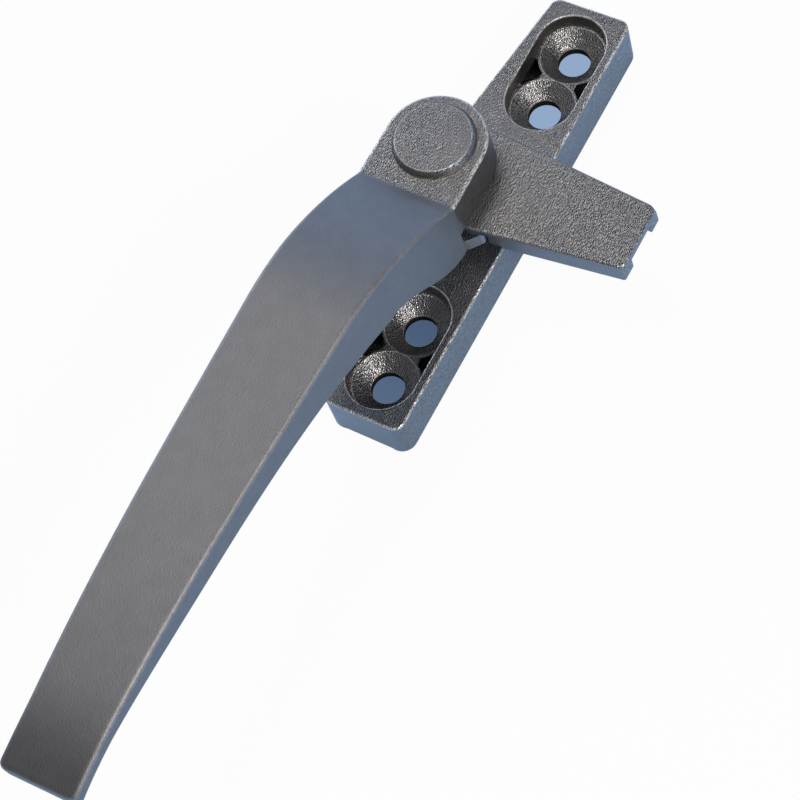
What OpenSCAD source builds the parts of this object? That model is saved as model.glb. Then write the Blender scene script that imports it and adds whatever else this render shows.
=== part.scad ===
// Cockspur casement window handle.
// The mounting plane is z = 0, the screw line is x = 0, and +y is the upper end of the plate.
// At rest the window is latched: the grip hangs along -y and the tongue reaches out along +x.

/* [Base plate] */
// Length of the base plate
plate_len = 80.8; // [76:0.2:95]
// Width of the plate across its two ends
end_w = 14.5; // [13.8:0.1:15.5]
// Distance from the screw line to the straight edge
plate_edge = 7.6; // [7.5:0.05:8.5]
// Height of the plate above the mounting plane
base_h = 8.4; // [7.6:0.1:11]
// Radius of the four plan corners at the top rim
corner_r = 2; // [1:0.1:3]
// Radius of the four plan corners at the mounting plane
foot_corner_r = 2.4; // [1:0.1:3]
// Chamfer round the top rim
rim_chamfer = 0.35; // [0.2:0.05:0.8]
// Casting draft of the outer side faces
side_draft = 0.2; // [0:0.05:0.3]
// Thickness of the top deck
deck_t = 2; // [1.4:0.1:2.4]
// Thickness of the side walls
shell_t = 1.4; // [1:0.1:1.5]
// Height of the relief under each end wall
foot_relief = 0.4; // [0.2:0.1:1]
// Width of the relief under each end wall
foot_relief_w = 9; // [4:0.5:10]

/* [Screw seats] */
// Spacing of the outer pair of screw holes
outer_pitch = 65; // [61:0.5:68]
// Spacing between the two holes of one pocket
pair_pitch = 10.85; // [10.8:0.05:12]
// Diameter of the screw holes
hole_d = 5.5; // [4.2:0.1:6]
// Diameter of the countersinks at their rims
sink_d = 10.6; // [9:0.1:10.7]
// Depth of each countersink
sink_depth = 2.1; // [1.4:0.1:2.4]
// Length of the straight hole below the countersink
hole_len = 1.5; // [0.8:0.1:1.8]
// Width of the long pocket round each pair
pocket_w = 11.7; // [11.3:0.1:12.2]
// Depth of the pockets below the top of the plate
pocket_depth = 2.95; // [2.2:0.05:3.4]
// Wall round each countersunk cup
cup_wall = 0.5; // [0.3:0.05:0.6]
// Wall round the pocket below the deck
pocket_wall = 1; // [0.6:0.1:1.2]
// Height of the pocket wall that hangs below the pocket floor
pocket_lip = 0.85; // [0.3:0.05:1.2]
// Distance from the screw line to the inner end of the windows between the cups
window_in = 3.2; // [2.6:0.1:4.2]
// Length of the windows along the pocket
window_len = 5.4; // [3:0.1:6]
// Thickness of the floor that closes the hollow below the windows
window_floor_t = 1.2; // [0.8:0.1:1.4]

/* [Pivot] */
// Distance from the screw line to the pivot axis
pivot_offset = 4.65; // [4:0.05:5.4]
// Radius of the plate outline round the pivot
hub_r = 7.6; // [7.5:0.1:8.4]
// Radius of the raised collar under the moving parts
collar_r = 6.8; // [6.6:0.1:6.9]
// Height of the raised collar above the plate
collar_h = 2.9; // [2:0.1:4]
// Diameter of the round journal of the spindle
journal_d = 9; // [8.9:0.1:9.4]
// Width across the flats of the square end of the spindle
square_af = 6.3; // [5.6:0.1:6.3]
// Wall of the plastic bearing bush
bush_wall = 0.7; // [0.5:0.1:0.9]
// Thickness of the plastic thrust washer
thrust_t = 0.7; // [0.5:0.1:1.2]
// Depth of the hub boss below the deck, inside the plate
hub_drop = 1.8; // [1.2:0.1:2]
// Thickness of the steel washer under the hub boss
back_washer_t = 0.6; // [0.4:0.1:0.8]
// Working height of the disc spring
disc_spring_h = 1; // [0.8:0.1:1.2]
// Sheet thickness of the disc spring
disc_spring_t = 0.45; // [0.3:0.05:0.6]
// Diameter of the spindle head
head_d = 11; // [10.6:0.1:11.2]
// Thickness of the spindle head
head_t = 1.5; // [1:0.1:1.6]
// Reach of the stop lug from the pivot axis
lug_reach = 8; // [7.2:0.1:8.4]
// Half angle of the stop lug, in degrees
lug_half = 14; // [8:1:18]
// Turn between the latched and the open position, in degrees
turn = 90; // [80:1:95]
// Free angle left at each stop, in degrees
stop_slack = 2; // [1.5:0.5:4]
// Thickness of the two stop ribs
rib_t = 1.6; // [1.2:0.1:2]

/* [Tongue] */
// Height of the tongue hub
tongue_h = 5.85; // [5:0.05:8]
// Reach of the tongue from the screw line
tongue_reach = 29.7; // [22:0.1:36]
// Width of the tongue at the pivot
tongue_root_w = 19.1; // [18:0.1:19.3]
// Width of the tongue at its end
tongue_end_w = 11.8; // [9:0.05:14]
// Sideways offset of the end of the tongue
tongue_skew = 0.5; // [0:0.05:0.8]
// Radius of the two end corners at the top
tongue_corner_r = 2; // [1:0.1:3]
// Radius of the two end corners at the lower edge
tongue_foot_r = 0.5; // [0.3:0.1:2.5]
// Thickness of the top web of the channel
tongue_top_t = 1.4; // [1:0.1:2]
// Thickness of the channel walls
tongue_wall = 1.6; // [1.2:0.1:2]
// Depth of the channel walls below the top face
tongue_side_h = 3.6; // [3:0.1:4.5]
// Width of the notch in the end wall
end_notch_w = 6.4; // [3:0.1:7]
// Distance from the pivot axis to where the channel walls start
wall_start = 11.9; // [11.5:0.1:16]
// Radius of the tongue hub
tongue_hub_r = 6.8; // [6:0.1:6.9]
// Chamfer round the top face of the tongue
tongue_chamfer = 0.4; // [0.2:0.05:0.6]

/* [Lever] */
// Distance from the pivot axis to the end of the grip
lever_len = 114.4; // [106:0.1:130]
// Radius of the boss at its top face
boss_r = 8.4; // [8.1:0.05:8.4]
// Height of the boss above the tongue
boss_h = 7.55; // [7:0.05:10]
// Extra radius of the boss at its foot
boss_draft = 0.15; // [0.15:0.05:0.4]
// Half width of the crank beside the boss
crank_half = 8.5; // [8.4:0.05:9]
// Distance from the pivot axis to the foot of the rise
crease = 9.4; // [9:0.1:12]
// Distance from the pivot axis to the top of the rise
rise_end = 38; // [34:0.1:44]
// Height of the grip above the boss top
grip_rise = 11.55; // [8:0.05:18]
// Curve of the rise, where 1 is a straight slope
rise_power = 1.9; // [1.4:0.1:2.4]
// Distance from the pivot axis to where the grip starts to fall
fall_start = 58; // [48:1:70]
// Drop of the top of the grip at its end
tip_drop = 5.4; // [2:0.1:6]
// Half width of the grip where it starts
grip_half = 8.3; // [7.4:0.05:8.5]
// Half width of the grip at its end
tip_half = 6.55; // [5.8:0.05:7.2]
// Distance from the pivot axis to where the taper of the grip ends
taper_end = 104; // [90:1:105]
// Radius of the two end corners of the grip
tip_corner_r = 1.2; // [0.8:0.1:3]
// Difference in length of the two sides of the grip, from its centre line
tip_skew = 0.5; // [0:0.1:0.8]
// Radius of the rounded nose in side view
nose_r = 0.6; // [0.4:0.1:1.2]
// Distance from the pivot axis to the heel of the crank
heel = 10.4; // [10:0.1:13]
// Distance from the pivot axis to the throat behind the crank
throat = 29.8; // [26:0.1:32]
// Depth of the grip at the throat, below its top
throat_depth = 12.6; // [10:0.1:14]
// Depth of the grip towards its end, below its top
grip_depth = 5.5; // [5:0.1:8]
// Distance from the pivot axis to where the underside levels out
under_flat = 76; // [66:0.5:84]
// Drop of the underside at the end of the grip
under_drop = 3; // [0:0.1:3.4]
// Edge radius along the top of the grip
grip_edge_r = 0.8; // [0.5:0.1:1.6]
// Edge radius along the top of the boss
boss_edge_r = 0.5; // [0.3:0.1:0.8]
// Thickness of the side walls of the hollow lever
lever_wall = 1.8; // [1.4:0.1:2.2]
// Thickness of the top skin of the hollow lever
lever_skin = 1.9; // [1.5:0.1:2.4]
// Distance from the pivot axis to the start of the hollow
hollow_start = 12.4; // [11.5:0.1:16]
// Solid length at the end of the grip
tip_solid = 15; // [10:0.5:25]
// Thickness of the ribs across the hollow
cross_rib_t = 1.4; // [1:0.1:2]
// Number of ribs across the hollow
cross_ribs = 3; // [1:1:5]
// Thickness of the web above the tongue hub
web_t = 3; // [2.4:0.1:3.4]
// Radius of the corner of the skirt under the tongue
skirt_corner_r = 12.6; // [12.2:0.1:13]
// Height of that corner
skirt_corner_h = 2.8; // [2:0.1:3]
// Width of that corner beyond the side of the lever
skirt_corner_w = 1.9; // [1:0.1:2.4]
// Overlap of that corner with the crank
skirt_corner_lap = 0.7; // [0.5:0.1:1]
// Radius of the recess under the cap
recess_r = 6; // [5.7:0.05:6.2]

/* [Fixing and cap] */
// Diameter of the fixing screw
screw_d = 5; // [4:1:5]
// Length of the fixing screw below its head
screw_len = 10; // [8:1:12]
// Diameter of the head of the fixing screw
screw_head_d = 9; // [8:0.1:9.4]
// Height of the head of the fixing screw
screw_head_h = 2.1; // [1.6:0.1:2.3]
// Thickness of the split lock washer
lock_washer_t = 1.1; // [0.8:0.1:1.2]
// Radius of the cap where it meets the boss
cap_r = 6.7; // [6.4:0.05:7]
// Radius of the flat top of the cap
cap_top_r = 6.1; // [5.6:0.05:6.3]
// Height of the cap above the boss
cap_h = 1.2; // [0.8:0.05:1.8]
// Depth of the cap plug in the recess
plug_depth = 1.8; // [1.2:0.1:2]
// Wall of the cap plug
plug_wall = 0.9; // [0.6:0.1:1]

/* [Fits] */
// Radial clearance of the running journal
journal_gap = 0.05; // [0.03:0.01:0.1]
// Axial clearance under the turning parts
axial_gap = 0.05; // [0.03:0.01:0.15]
// Clearance of the square and of the fixed parts
seat_gap = 0.05; // [0.03:0.01:0.1]
// Clearance between the skirt of the lever and the tongue
skirt_gap = 0.3; // [0.2:0.05:0.4]

/* [Hidden] */
// Colours of the painted castings and of the parts inside
c_paint = [0.42, 0.4, 0.38];
c_grip = [0.38, 0.37, 0.36];
c_steel = [0.72, 0.73, 0.75];
c_acetal = [0.92, 0.91, 0.87];
eps = 0.01;
// Levels of the stack along the pivot axis
px = -pivot_offset;
collar_top = base_h + collar_h;
rotor_z = collar_top + thrust_t + axial_gap;
tongue_top = rotor_z + tongue_h;
boss_top = tongue_top + boss_h;
recess_z = tongue_top + web_t;
hub_under = base_h - deck_t - hub_drop;
washer_z = hub_under - axial_gap - back_washer_t;
head_top = washer_z - disc_spring_h;
skirt_z = rotor_z + skirt_gap;
grip_top = boss_top + grip_rise;
bush_r = journal_d / 2 + journal_gap + bush_wall;
pocket_z = base_h - pocket_depth;
sink_z = pocket_z - sink_depth;
cup_z = sink_z - hole_len;
cup_r = sink_d / 2 + cup_wall;
under_top = grip_top - grip_depth;
throat_z = grip_top - throat_depth;

// Plan outline of the base plate: the slanted edges are tangent to the hub circle
plate_half = plate_len / 2;
end_left = plate_edge - end_w;
hub_dist = norm([plate_half, end_left - px]);
slant = atan2(end_left - px, plate_half) + asin(hub_r / hub_dist);
apex_x = px - hub_r / cos(slant);
plate_pts = [[plate_edge, -plate_half], [plate_edge, plate_half], [end_left, plate_half],
    [apex_x, 0], [end_left, -plate_half]];
plate_radii = [corner_r, corner_r, corner_r, hub_r, corner_r];
foot_radii = [foot_corner_r, foot_corner_r, foot_corner_r, hub_r, foot_corner_r];

// Plan outline of the tongue, tapered from the hub to its end
tongue_pts = [[px, -tongue_root_w / 2], [tongue_reach, tongue_skew - tongue_end_w / 2],
    [tongue_reach, tongue_skew + tongue_end_w / 2], [px, tongue_root_w / 2]];
tongue_radii = [1, tongue_corner_r, tongue_corner_r, 1];
tongue_foot_radii = [1, tongue_foot_r, tongue_foot_r, 1];

function unit(v) = v / norm(v);
function smooth(t) = t * t * (3 - 2 * t);
function mix(a, b, t) = a + (b - a) * t;
function clamp(t) = min(1, max(0, t));

// One rounded corner of a convex outline that runs anticlockwise, drawn inset by a distance
function corner_arc(p, i, r, n, inset) =
    let (a = unit(p[(i + len(p) - 1) % len(p)] - p[i]), b = unit(p[(i + 1) % len(p)] - p[i]),
        half = acos(a * b) / 2, c = p[i] + unit(a + b) * r / sin(half),
        start = atan2(c.y - p[i].y, c.x - p[i].x) + 180 - (90 - half), sweep = 180 - 2 * half)
    [for (k = [0:n]) c + (r - inset) * [cos(start + sweep * k / n), sin(start + sweep * k / n)]];

function rounded(p, radii, inset = 0, n = 8) =
    [for (i = [0:len(p) - 1]) each corner_arc(p, i, radii[i], radii[i] > 5 ? 2 * n : n, inset)];

// Top line of the lever against the distance from the pivot axis
function nose(d) = d <= lever_len - nose_r ? 0
    : nose_r - sqrt(max(0, nose_r * nose_r - pow(d - (lever_len - nose_r), 2)));
function top_z(d) = d <= crease ? boss_top
    : d <= rise_end ? grip_top - grip_rise * pow((rise_end - d) / (rise_end - crease), rise_power)
    : grip_top - tip_drop * pow(clamp((d - fall_start) / (lever_len - fall_start)), 2.5) - nose(d);

// Underside of the lever: flat heel, steep throat, then a long shallow curve
function under_z(d) = d <= heel ? skirt_z
    : d <= throat ? mix(skirt_z, throat_z, smooth((d - heel) / (throat - heel)))
    : under_top - (under_top - throat_z) * pow(clamp((under_flat - d) / (under_flat - throat)), 2.4)
        - under_drop * pow(clamp((d - under_flat) / (lever_len - under_flat)), 5);

// Half width and edge radius of the lever
neck_start = throat - 3;
function half_w(d) = d <= neck_start ? crank_half
    : d <= rise_end ? mix(crank_half, grip_half, smooth((d - neck_start) / (rise_end - neck_start)))
    : mix(grip_half, tip_half, clamp((d - rise_end) / (taper_end - rise_end)));
function edge_r(d) = mix(boss_edge_r, grip_edge_r, smooth(clamp((d - crease) / (rise_end - crease))));

// Stations along the lever
top_stations = concat([0], [for (i = [0:12]) mix(crease, rise_end, i / 12)],
    [for (i = [1:14]) mix(rise_end, lever_len - nose_r, i / 14)],
    [for (i = [1:4]) lever_len - nose_r + nose_r * sin(i * 22.5)]);
low_stations = concat([0], [for (i = [0:10]) mix(heel, throat, i / 10)],
    [for (i = [1:10]) mix(throat, under_flat, i / 10)],
    [for (i = [1:8]) mix(under_flat, lever_len, i / 8)]);
plan_stations = concat([0, neck_start], [for (i = [1:8]) mix(neck_start, rise_end, i / 8)],
    [taper_end, lever_len - tip_corner_r]);

function reversed(v) = [for (i = [len(v) - 1:-1:0]) v[i]];

// Extrudes an outline of (distance, height) points across the lever
module across(w) {
    translate([px, 0, 0])
        rotate([90, 0, -90])
            linear_extrude(w, center = true)
                children();
}

module tube(r_out, r_in, h) {
    difference() {
        cylinder(r = r_out, h = h, $fn = 96);
        translate([0, 0, -1])
            cylinder(r = r_in, h = h + 2, $fn = 96);
    }
}

module at_pivot(z = 0) {
    translate([px, 0, z])
        children();
}

// Long round-ended outline round one pair of screw holes
module pair_outline(w) {
    translate([0, outer_pitch / 2])
        circle(d = w, $fn = 64);
    translate([0, outer_pitch / 2 - pair_pitch])
        circle(d = w, $fn = 64);
    translate([-w / 2, outer_pitch / 2 - pair_pitch])
        square([w, pair_pitch]);
}

module both_ends() {
    children();
    mirror([0, 1, 0])
        children();
}

module each_screw() {
    both_ends() {
        translate([0, outer_pitch / 2, 0])
            children();
        translate([0, outer_pitch / 2 - pair_pitch, 0])
            children();
    }
}

module plate_slab(z, radii, inset) {
    translate([0, 0, z])
        linear_extrude(eps)
            polygon(rounded(plate_pts, radii, inset));
}

module screw_cup() {
    translate([0, 0, cup_z])
        cylinder(r = cup_r, h = pocket_z - cup_z, $fn = 64);
}

// Floor below the two windows of a pair, clear of the screws
module window_floor() {
    floor_len = window_len + 1;
    difference() {
        translate([-hub_r - pivot_offset, (outer_pitch - pair_pitch - floor_len) / 2, foot_relief])
            cube([hub_r + pivot_offset + plate_edge, floor_len, window_floor_t]);
        for (y = [outer_pitch / 2, outer_pitch / 2 - pair_pitch])
            translate([0, y, -1])
                cylinder(d = hole_d + 2, h = cup_z + 1, $fn = 64);
    }
}

module screw_hole() {
    translate([0, 0, cup_z - 1])
        cylinder(d = hole_d, h = hole_len + 2, $fn = 64);
    translate([0, 0, sink_z])
        cylinder(d1 = hole_d, d2 = sink_d, h = sink_depth, $fn = 64);
    translate([0, 0, pocket_z - eps])
        cylinder(d = sink_d, h = 1, $fn = 64);
}

module base_plate() {
    color(c_paint)
        difference() {
            union() {
                difference() {
                    hull() {
                        plate_slab(0, foot_radii, 0);
                        plate_slab(base_h - rim_chamfer, plate_radii, side_draft);
                        plate_slab(base_h - eps, plate_radii, side_draft + rim_chamfer);
                    }
                    translate([0, 0, -1])
                        linear_extrude(base_h - deck_t + 1)
                            polygon(rounded(plate_pts, plate_radii, side_draft + shell_t));
                }
                intersection() {
                    union() {
                        both_ends()
                            translate([0, 0, pocket_z - pocket_lip])
                                linear_extrude(pocket_depth + pocket_lip - deck_t / 2)
                                    pair_outline(pocket_w + 2 * pocket_wall);
                        each_screw()
                            screw_cup();
                        both_ends()
                            window_floor();
                        at_pivot(head_top - head_t)
                            stop_ribs();
                    }
                    linear_extrude(base_h - deck_t / 2)
                            polygon(rounded(plate_pts, plate_radii, side_draft + shell_t / 2));
                }
                at_pivot(hub_under)
                    cylinder(r = collar_r, h = collar_top - hub_under, $fn = 96);
            }
            both_ends()
                translate([0, 0, pocket_z])
                    linear_extrude(pocket_depth + 1)
                        pair_outline(pocket_w);
            both_ends()
                pocket_windows();
            each_screw()
                screw_hole();
            at_pivot(hub_under - 1)
                cylinder(r = bush_r, h = collar_top - hub_under + 2, $fn = 96);
            both_ends()
                translate([(plate_edge + end_left) / 2 - foot_relief_w / 2, plate_half - shell_t * 2, -1])
                    cube([foot_relief_w, shell_t * 2 + 1, foot_relief + 1]);
        }
}

// Two radial ribs that the lug of the spindle meets at the ends of its travel
module stop_ribs() {
    rib_start = head_d / 2 + 0.3;
    for (s = [[lug_half + stop_slack, 0], [-lug_half - turn - stop_slack, -rib_t]])
        rotate([0, 0, s[0]])
            translate([rib_start, s[1], 0])
                cube([lug_reach - rib_start + 1, rib_t, base_h - deck_t / 2 - head_top + head_t]);
}

// Two small openings between the cups of a pair, into the hollow of the plate
module pocket_windows() {
    difference() {
        for (x = [-pocket_w / 2, window_in])
            translate([x, (outer_pitch - pair_pitch - window_len) / 2, pocket_z - pocket_lip - 1])
                cube([pocket_w / 2 - window_in, window_len, pocket_lip + 1 + eps]);
        translate([0, outer_pitch / 2, pocket_z - 4])
            cylinder(r = cup_r, h = 5, $fn = 64);
        translate([0, outer_pitch / 2 - pair_pitch, pocket_z - 4])
            cylinder(r = cup_r, h = 5, $fn = 64);
    }
}

module base_bush() {
    color(c_acetal)
        at_pivot(hub_under)
            tube(bush_r, journal_d / 2 + journal_gap, collar_top - hub_under);
}

module thrust_washer() {
    color(c_acetal)
        at_pivot(collar_top)
            tube(collar_r - 0.2, journal_d / 2 + 3 * journal_gap, thrust_t);
}

module square_prism(af, h) {
    translate([-af / 2, -af / 2, 0])
        cube([af, af, h]);
}

module pivot_spindle() {
    color(c_steel)
        at_pivot() {
            difference() {
                union() {
                    translate([0, 0, head_top - head_t])
                        cylinder(d = head_d, h = head_t, $fn = 96);
                    translate([0, 0, head_top - head_t])
                        stop_lug();
                    translate([0, 0, head_top - eps])
                        cylinder(d = journal_d, h = rotor_z - head_top + eps, $fn = 96);
                    translate([0, 0, rotor_z - eps])
                        square_prism(square_af, recess_z - 0.3 - rotor_z + eps);
                }
                translate([0, 0, recess_z + lock_washer_t - screw_len - 0.5])
                    cylinder(d = screw_d, h = screw_len, $fn = 64);
            }
        }
}

module stop_lug() {
    intersection() {
        cylinder(r = lug_reach, h = head_t, $fn = 96);
        linear_extrude(head_t)
            polygon([[0, 0], 2 * lug_reach * [cos(lug_half), -sin(lug_half)],
                2 * lug_reach * [cos(lug_half), sin(lug_half)]]);
    }
}

module disc_spring() {
    color(c_steel)
        at_pivot(head_top)
            rotate_extrude($fn = 96)
                polygon([[head_d / 2 - 0.1, 0], [head_d / 2 - 0.1, disc_spring_t],
                    [journal_d / 2 + 0.1, disc_spring_h],
                    [journal_d / 2 + 0.1, disc_spring_h - disc_spring_t]]);
}

module back_washer() {
    color(c_steel)
        at_pivot(washer_z)
            tube(head_d / 2, journal_d / 2 + journal_gap, back_washer_t);
}

module tongue_slab(z, radii, inset) {
    translate([0, 0, z])
        linear_extrude(eps)
            polygon(rounded(tongue_pts, radii, inset));
}

module tongue() {
    color(c_paint)
        difference() {
            union() {
                difference() {
                    hull() {
                        tongue_slab(tongue_top - tongue_side_h, tongue_foot_radii, 0);
                        tongue_slab(tongue_top - tongue_chamfer, tongue_radii, side_draft / 2);
                        tongue_slab(tongue_top - eps, tongue_radii, side_draft / 2 + tongue_chamfer);
                    }
                    translate([0, 0, tongue_top - tongue_side_h - 1])
                        linear_extrude(tongue_side_h - tongue_top_t + 1)
                            polygon(rounded(tongue_pts, tongue_radii + [1, 0, 0, 1], tongue_wall));
                    translate([px - 20, -tongue_root_w, tongue_top - tongue_side_h - 1])
                        cube([20 + wall_start, 2 * tongue_root_w, tongue_side_h - tongue_top_t + 1]);
                    translate([tongue_reach - 2 * tongue_wall, tongue_skew - end_notch_w / 2,
                        tongue_top - tongue_side_h - 1])
                        cube([3 * tongue_wall, end_notch_w, tongue_side_h - tongue_top_t + 1]);
                }
                at_pivot(rotor_z)
                    cylinder(r = tongue_hub_r, h = tongue_h, $fn = 96);
                translate([px, -tongue_wall / 2, tongue_top - tongue_side_h + 1])
                    cube([wall_start + 6, tongue_wall, tongue_side_h - 1 - tongue_top_t / 2]);
            }
            at_pivot(rotor_z - 1)
                square_prism(square_af + 2 * seat_gap, tongue_h + 2);
        }
}

module lever_side(top_pts) {
    polygon(concat(top_pts, reversed([for (d = low_stations) [d, under_z(d)]])));
}

// The full depth of the lever between its top line and its underside
module lever_blank() {
    intersection() {
        across(3 * crank_half)
            lever_side([for (d = top_stations) [d, top_z(d)]]);
        linear_extrude(grip_top + 5)
            lever_plan(0);
        for_edges(30);
        for_edges(60);
        for_edges(-30);
        for_edges(-60);
    }
}

// A tilted envelope that rounds one of the two long top edges
module for_edges(angle) {
    translate([px, 0, 0])
        rotate([0, angle, 0])
            translate([-px, 0, 0])
                across(12 * crank_half)
                    polygon(concat([for (d = top_stations)
                        [d, (half_w(d) - edge_r(d)) * sin(abs(angle))
                            + (top_z(d) - edge_r(d)) * cos(angle) + edge_r(d)]],
                        [[lever_len, -3 * crank_half], [0, -3 * crank_half]]));
}

// Plan outline of the lever, inset by a wall, with rounded end corners
module lever_plan(inset) {
    r = tip_corner_r;
    end_d = lever_len - inset;
    side = concat([for (d = plan_stations) [half_w(d) - inset, -d]],
        [for (k = [1:8]) [tip_half - inset - r + r * cos(k * 11.25), -(end_d - r + r * sin(k * 11.25))]]);
    both = concat(side, reversed([for (q = side) [-q.x, q.y]]));
    translate([px, 0])
        polygon([for (q = both) q.y < -taper_end ? [q.x, q.y + tip_skew * q.x / tip_half] : q]);
}

// Hollow of the lever, open at the underside, with cross ribs left standing
module lever_hollow() {
    hollow_end = lever_len - tip_solid;
    bay = (hollow_end - hollow_start) / (cross_ribs + 1);
    steps = 24;
    ds = [for (i = [0:steps]) mix(hollow_start, hollow_end, i / steps)];
    difference() {
        intersection() {
            across(3 * crank_half)
                polygon(concat([for (d = ds) [d, top_z(d) - lever_skin]],
                    reversed([for (d = ds) [d, under_z(d) - 1]])));
            linear_extrude(grip_top + 5)
                lever_plan(lever_wall);
        }
        for (i = [1:cross_ribs])
            translate([px - crank_half, -hollow_start - bay * i - cross_rib_t / 2, 0])
                cube([2 * crank_half, cross_rib_t, grip_top]);
    }
}

module lever_boss() {
    foot = tongue_top - skirt_z;
    at_pivot(skirt_z)
        cylinder(r = boss_r + boss_draft, h = foot, $fn = 96);
    at_pivot(tongue_top)
        cylinder(r1 = boss_r + boss_draft, r2 = boss_r, h = boss_h - boss_edge_r, $fn = 96);
    at_pivot(boss_top - boss_edge_r)
        cylinder(r1 = boss_r, r2 = boss_r - boss_edge_r, h = boss_edge_r, $fn = 96);
}

// Small corner of the skirt that reaches under the tongue, round about the pivot axis
module skirt_corner() {
    corner_end = tongue_root_w / 2 + skirt_gap / 2 + skirt_corner_lap;
    intersection() {
        at_pivot(skirt_z)
            cylinder(r = skirt_corner_r, h = skirt_corner_h, $fn = 96);
        translate([px + crank_half / 2, -corner_end, skirt_z])
            cube([crank_half / 2 + skirt_corner_w, corner_end - tongue_hub_r, skirt_corner_h]);
    }
}

module lever() {
    color(c_grip)
        difference() {
            union() {
                lever_blank();
                lever_boss();
            }
            lever_hollow();
            at_pivot(skirt_z - 1)
                cylinder(r = tongue_hub_r + skirt_gap, h = tongue_top - skirt_z + 1, $fn = 96);
            translate([px - skirt_gap, -tongue_root_w / 2 - skirt_gap / 2, skirt_z - 1])
                cube([2 * crank_half + 2, tongue_root_w + skirt_gap, tongue_top - skirt_z + 1]);
            at_pivot(tongue_top - 1)
                square_prism(square_af + 2 * seat_gap, web_t + 2);
            at_pivot(recess_z)
                cylinder(r = recess_r, h = boss_top - recess_z + 1, $fn = 96);
        }
    color(c_grip)
        skirt_corner();
}

// Split ring: its two ends lie a little apart
module lock_washer() {
    color(c_steel)
        at_pivot(recess_z)
            difference() {
                tube(screw_head_d / 2, screw_d / 2 + seat_gap, lock_washer_t);
                translate([0, -0.4, -1])
                    cube([screw_head_d, 0.8, lock_washer_t + 2]);
            }
}

module fixing_screw() {
    color(c_steel)
        at_pivot(recess_z + lock_washer_t)
            difference() {
                union() {
                    cylinder(d = screw_head_d, h = screw_head_h, $fn = 96);
                    translate([0, 0, -screw_len])
                        cylinder(d = screw_d - 2 * seat_gap, h = screw_len + eps, $fn = 64);
                }
                translate([0, 0, screw_head_h / 2])
                    for (a = [0, 90])
                        rotate([0, 0, a])
                            translate([-screw_head_d / 4, -0.5, 0])
                                cube([screw_head_d / 2, 1, screw_head_h]);
            }
}

module pivot_cap() {
    color(c_paint)
        at_pivot(boss_top)
            rotate_extrude($fn = 96)
                polygon([[0, 0], [recess_r - seat_gap - plug_wall, 0],
                    [recess_r - seat_gap - plug_wall, -plug_depth],
                    [recess_r - seat_gap, -plug_depth], [recess_r - seat_gap, 0],
                    [cap_r, 0], [cap_r, cap_h * 0.25], [cap_top_r, cap_h], [0, cap_h]]);
}

base_plate();
base_bush();
thrust_washer();
pivot_spindle();
disc_spring();
back_washer();
tongue();
lever();
lock_washer();
fixing_screw();
pivot_cap();
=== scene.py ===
"""Casement window handle: castings, cap, finishes and studio, built round the packed frame.

The code works in millimetres, in the frame of the packed model, and hands meshes over in metres.
"""

import math

import bmesh
import bpy
from bpy.props import FloatProperty, FloatVectorProperty, IntProperty, PointerProperty
from mathutils import Euler, Matrix, Vector


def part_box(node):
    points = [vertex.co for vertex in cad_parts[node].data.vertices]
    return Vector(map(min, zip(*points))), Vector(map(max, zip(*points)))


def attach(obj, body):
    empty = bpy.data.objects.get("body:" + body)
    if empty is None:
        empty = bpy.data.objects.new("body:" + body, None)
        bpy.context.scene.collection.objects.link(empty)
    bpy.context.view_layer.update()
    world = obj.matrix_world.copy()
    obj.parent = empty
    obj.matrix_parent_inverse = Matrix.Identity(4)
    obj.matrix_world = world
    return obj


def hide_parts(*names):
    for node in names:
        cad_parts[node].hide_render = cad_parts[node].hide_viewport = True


bl_info = {
    "name": "Casement window handle",
    "version": (1, 0, 0),
    "blender": (4, 5, 0),
    "location": "View3D > Sidebar > Handle",
    "description": "Castings, cap, finishes and studio of a casement window handle",
    "category": "Object",
}

MM = 0.001

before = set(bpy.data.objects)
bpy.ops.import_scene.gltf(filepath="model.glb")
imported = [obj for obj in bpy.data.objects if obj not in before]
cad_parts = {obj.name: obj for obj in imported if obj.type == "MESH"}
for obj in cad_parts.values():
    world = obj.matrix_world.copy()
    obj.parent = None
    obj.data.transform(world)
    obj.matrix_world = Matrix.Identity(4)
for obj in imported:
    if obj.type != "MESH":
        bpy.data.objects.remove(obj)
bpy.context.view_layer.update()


def node_box(name):
    """Lowest and highest corner of a node, in millimetres."""
    low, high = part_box(name)
    return low / MM, high / MM


plate_high = node_box("base_plate")[1]
tongue_low, tongue_high = node_box("tongue")
lever_low, lever_high = node_box("lever")
cap_low, cap_high = node_box("pivot_cap")

# Levels and places that the nodes give
PIVOT_X = (cap_low.x + cap_high.x) / 2
COLLAR_TOP = plate_high.z
TONGUE_TOP = tongue_high.z
CAP_H = 1.2
BOSS_TOP = cap_high.z - CAP_H
GRIP_TOP = lever_high.z
SKIRT_Z = lever_low.z
ROTOR_Z = tongue_low.z

# Base plate, as in the construction, in millimetres
DECK_Z = 8.4
DECK_T = 2.0
PLATE_EDGE = 7.6
PLATE_HALF = 40.4
PLATE_CORNER = 2.0
FOOT_CORNER = 2.4
END_LEFT = -6.9
HUB_R = 7.6
COLLAR_R = 6.8
OUTER_HOLE_Y = 32.5
PAIR_PITCH = 10.85
INNER_HOLE_Y = OUTER_HOLE_Y - PAIR_PITCH
PAIR_MIDDLE = (INNER_HOLE_Y + OUTER_HOLE_Y) / 2
SHELL_T = 1.4
SIDE_DRAFT = 0.2
CUP_UNDER = 1.85
CUP_R = 5.8
SEAT_BOTTOM = 3.35
POCKET_DEPTH = 2.95
POCKET_LIP = 0.85
POCKET_WALL_R = 6.85
WINDOW_IN = 3.2
WINDOW_OUT = 5.75
WINDOW_LEN = 5.4
WINDOW_FLOOR_LOW = 0.4
WINDOW_FLOOR_TOP = 1.6
WINDOW_FLOOR_BORE = 3.75
HUB_UNDER = 4.6
BORE_R = 5.25
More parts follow.
